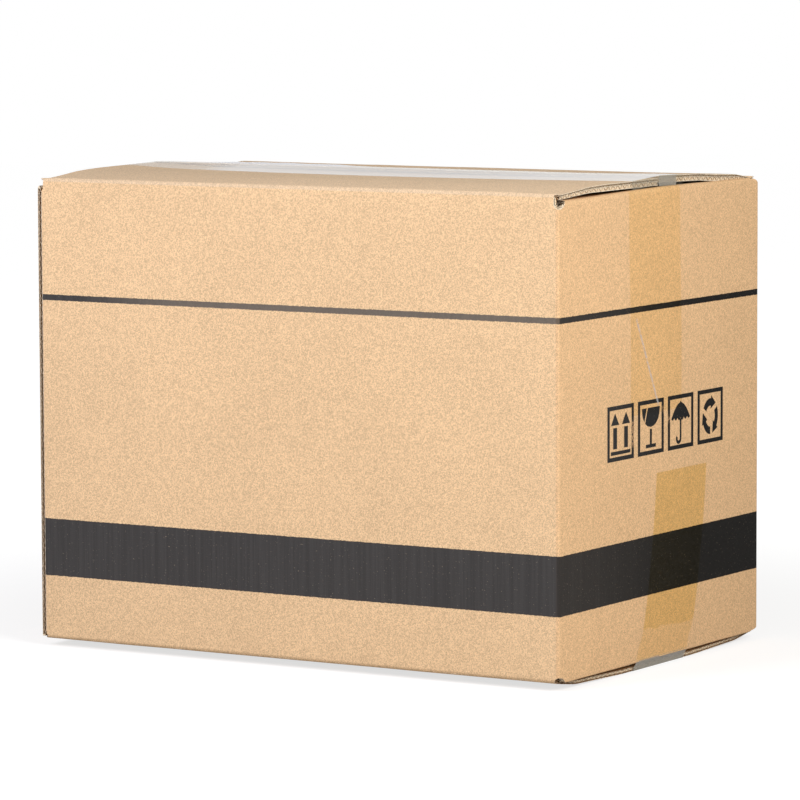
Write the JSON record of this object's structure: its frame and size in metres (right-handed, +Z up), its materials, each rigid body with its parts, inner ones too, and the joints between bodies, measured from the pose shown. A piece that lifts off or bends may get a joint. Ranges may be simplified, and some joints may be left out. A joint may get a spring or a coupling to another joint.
{
  "type": "shipping carton",
  "caption": "Taped double-wall corrugated shipping carton with folding top flaps, for packing and storing an instrument or other goods",
  "frame": {"origin": "on the floor, under the middle of the carton", "axes": "+X along the carton's length to its right end, +Y across it to its back, +Z up"},
  "size_m": [0.3932, 0.264, 0.3135],
  "materials": {
    "outer_liner": "matte kraft paper",
    "inner_liner": "matte kraft paper",
    "fluting": "matte fluting paper",
    "tape": "glossy clear film"
  },
  "bodies": {
    "carton": {"back_bottom_flap_flutes": "fluting", "back_bottom_flap_inner_liner": "inner_liner", "back_bottom_flap_middle_liner": "fluting", "back_bottom_flap_outer_liner": "outer_liner", "back_wall_core": "fluting", "back_wall_inner_liner": "inner_liner", "back_wall_outer_liner": "outer_liner", "bottom_tape": "tape", "front_bottom_flap_flutes": "fluting", "front_bottom_flap_inner_liner": "inner_liner", "front_bottom_flap_middle_liner": "fluting", "front_bottom_flap_outer_liner": "outer_liner", "front_wall_core": "fluting", "front_wall_inner_liner": "inner_liner", "front_wall_outer_liner": "outer_liner", "glue_tab": "outer_liner", "left_bottom_flap_flutes": "fluting", "left_bottom_flap_inner_liner": "inner_liner", "left_bottom_flap_middle_liner": "fluting", "left_bottom_flap_outer_liner": "outer_liner", "left_tape_leg": "tape", "left_wall_core": "fluting", "left_wall_inner_liner": "inner_liner", "left_wall_outer_liner": "outer_liner", "right_bottom_flap_flutes": "fluting", "right_bottom_flap_inner_liner": "inner_liner", "right_bottom_flap_middle_liner": "fluting", "right_bottom_flap_outer_liner": "outer_liner", "right_tape_leg": "tape", "right_wall_core": "fluting", "right_wall_inner_liner": "inner_liner", "right_wall_outer_liner": "outer_liner"},
    "front_top_flap": {"front_top_flap_flutes": "fluting", "front_top_flap_inner_liner": "inner_liner", "front_top_flap_middle_liner": "fluting", "front_top_flap_outer_liner": "outer_liner", "top_tape_front_half": "tape"},
    "back_top_flap": {"back_top_flap_flutes": "fluting", "back_top_flap_inner_liner": "inner_liner", "back_top_flap_middle_liner": "fluting", "back_top_flap_outer_liner": "outer_liner", "top_tape_back_half": "tape"},
    "right_top_flap": {"right_top_flap_flutes": "fluting", "right_top_flap_inner_liner": "inner_liner", "right_top_flap_middle_liner": "fluting", "right_top_flap_outer_liner": "outer_liner"},
    "left_top_flap": {"left_top_flap_flutes": "fluting", "left_top_flap_inner_liner": "inner_liner", "left_top_flap_middle_liner": "fluting", "left_top_flap_outer_liner": "outer_liner"}
  },
  "joints": [
    {"name": "front_top_flap_fold", "type": "hinge", "parent": "carton", "child": "front_top_flap", "pos_m": [0, -0.132, 0.3088], "axis": [1, 0, 0], "range_deg": [0, 262]},
    {"name": "back_top_flap_fold", "type": "hinge", "parent": "carton", "child": "back_top_flap", "pos_m": [0, 0.132, 0.3088], "axis": [-1, 0, 0], "range_deg": [0, 262]},
    {"name": "right_top_flap_fold", "type": "hinge", "parent": "carton", "child": "right_top_flap", "pos_m": [0.1921, 0, 0.29982], "axis": [0, -1, 0], "range_deg": [0, 80]},
    {"name": "left_top_flap_fold", "type": "hinge", "parent": "carton", "child": "left_top_flap", "pos_m": [-0.1921, 0, 0.29982], "axis": [0, 1, 0], "range_deg": [0, 45]}
  ]
}
